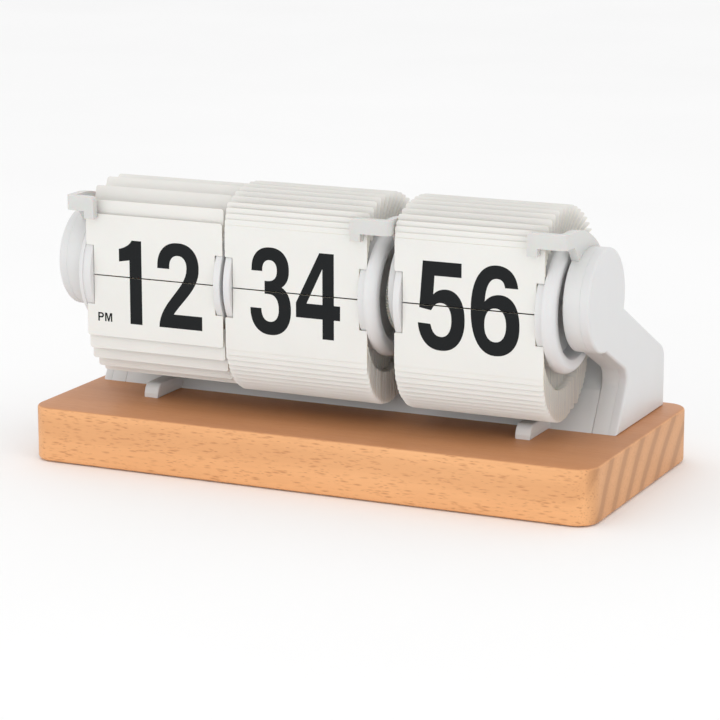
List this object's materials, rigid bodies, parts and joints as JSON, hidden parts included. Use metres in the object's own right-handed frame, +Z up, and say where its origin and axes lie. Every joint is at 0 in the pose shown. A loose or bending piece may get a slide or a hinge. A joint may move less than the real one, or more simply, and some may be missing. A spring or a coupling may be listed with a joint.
{
  "type": "split-flap table clock",
  "caption": "Split-flap table clock: drums of notched number flaps on one axle, held by a moulded housing on a slab base, with front hooks and a battery door.",
  "frame": {"origin": "middle of the underside of the feet", "axes": "+X to the right as the numbers are read, along the axle; +Y from front to back; +Z up"},
  "size_m": [0.3, 0.142, 0.1415],
  "materials": {
    "beech": "oiled beech",
    "rubber_pad": "matte",
    "zinc_steel": "zinc plated",
    "white_housing": "fine satin",
    "white_cover": "fine satin",
    "white_drum": "fine satin",
    "milky_hook": "milky, half clear",
    "axle_steel": "ground",
    "gear_nylon": "natural nylon",
    "motor_can": "plated can",
    "nickel_plate": "nickel plated",
    "green_board": "solder mask",
    "flap_sheet": "satin sheet"
  },
  "bodies": {
    "clock_body": {"wood_base": "beech", "rubber_feet": "rubber_pad", "base_screws": "zinc_steel", "housing": "white_housing", "left_side_cover": "white_cover", "right_side_cover": "white_cover", "front_lugs": "white_housing", "middle_arm": "white_housing", "hour_hook": "milky_hook", "minute_hook": "milky_hook", "second_hook": "milky_hook", "axle": "axle_steel", "gear_studs": "axle_steel", "motor": "motor_can", "battery_tray": "white_housing", "battery_contacts": "nickel_plate", "battery_spring": "nickel_plate", "circuit_board": "green_board", "hour_front_upper_flap": "flap_sheet", "hour_flap_fan": "flap_sheet", "hour_rear_flaps": "flap_sheet", "hour_hanging_flaps": "flap_sheet", "minute_front_upper_flap": "flap_sheet", "minute_flap_fan": "flap_sheet", "minute_rear_flaps": "flap_sheet", "minute_hanging_flaps": "flap_sheet", "second_front_upper_flap": "flap_sheet", "second_flap_fan": "flap_sheet", "second_rear_flaps": "flap_sheet", "second_hanging_flaps": "flap_sheet"},
    "second_drum": {"second_tube": "white_drum", "second_left_hub": "white_drum", "second_right_hub": "white_drum", "second_carry_pinion": "gear_nylon", "second_drive_gear": "gear_nylon"},
    "minute_drum": {"minute_tube": "white_drum", "minute_left_hub": "white_drum", "minute_right_hub": "white_drum", "minute_gear": "gear_nylon", "minute_carry_pinion": "gear_nylon"},
    "hour_drum": {"hour_tube": "white_drum", "hour_left_hub": "white_drum", "hour_right_hub": "white_drum", "hour_gear": "gear_nylon"},
    "motor_rotor": {"motor_pinion": "gear_nylon", "motor_shaft": "axle_steel"},
    "minute_carry": {"minute_carry_gear": "gear_nylon"},
    "hour_carry": {"hour_carry_gear": "gear_nylon"},
    "hour_front_flap": {"hour_front_lower_flap": "flap_sheet"},
    "minute_front_flap": {"minute_front_lower_flap": "flap_sheet"},
    "second_front_flap": {"second_front_lower_flap": "flap_sheet"},
    "battery_cover": {"battery_door": "white_housing"}
  },
  "joints": [
    {"name": "second_drum_turn", "type": "hinge", "parent": "clock_body", "child": "second_drum", "pos_m": [0, -0.022, 0.0935], "axis": [1, 0, 0], "continuous": true},
    {"name": "motor_turn", "type": "hinge", "parent": "clock_body", "child": "motor_rotor", "pos_m": [0, -0.022, 0.10862], "axis": [1, 0, 0], "continuous": true},
    {"name": "minute_carry_turn", "type": "hinge", "parent": "clock_body", "child": "minute_carry", "pos_m": [0, -0.0012, 0.08983], "axis": [1, 0, 0], "continuous": true},
    {"name": "minute_drum_turn", "type": "hinge", "parent": "clock_body", "child": "minute_drum", "pos_m": [0, -0.022, 0.0935], "axis": [1, 0, 0], "continuous": true},
    {"name": "hour_carry_turn", "type": "hinge", "parent": "clock_body", "child": "hour_carry", "pos_m": [0, -0.022, 0.10862], "axis": [1, 0, 0], "continuous": true},
    {"name": "hour_drum_turn", "type": "hinge", "parent": "clock_body", "child": "hour_drum", "pos_m": [0, -0.022, 0.0935], "axis": [1, 0, 0], "continuous": true},
    {"name": "hour_flap_fall", "type": "hinge", "parent": "clock_body", "child": "hour_front_flap", "pos_m": [0, -0.04877, 0.08998], "axis": [-1, 0, 0], "range_deg": [0, 165]},
    {"name": "minute_flap_fall", "type": "hinge", "parent": "clock_body", "child": "minute_front_flap", "pos_m": [0, -0.04895, 0.09185], "axis": [-1, 0, 0], "range_deg": [0, 165]},
    {"name": "second_flap_fall", "type": "hinge", "parent": "clock_body", "child": "second_front_flap", "pos_m": [0, -0.04898, 0.09256], "axis": [-1, 0, 0], "range_deg": [0, 165]},
    {"name": "battery_door_hinge", "type": "hinge", "parent": "clock_body", "child": "battery_cover", "pos_m": [0, 0.0629, 0.0324], "axis": [-1, 0, 0], "range_deg": [0, 90]}
  ],
  "couplings": [
    {"joint": "motor_turn", "follows": "second_drum_turn", "ratio": -6},
    {"joint": "minute_carry_turn", "follows": "second_drum_turn", "ratio": -0.16667},
    {"joint": "minute_drum_turn", "follows": "second_drum_turn", "ratio": 0.016667},
    {"joint": "hour_carry_turn", "follows": "second_drum_turn", "ratio": -0.0055556},
    {"joint": "hour_drum_turn", "follows": "second_drum_turn", "ratio": 0.00069444}
  ]
}
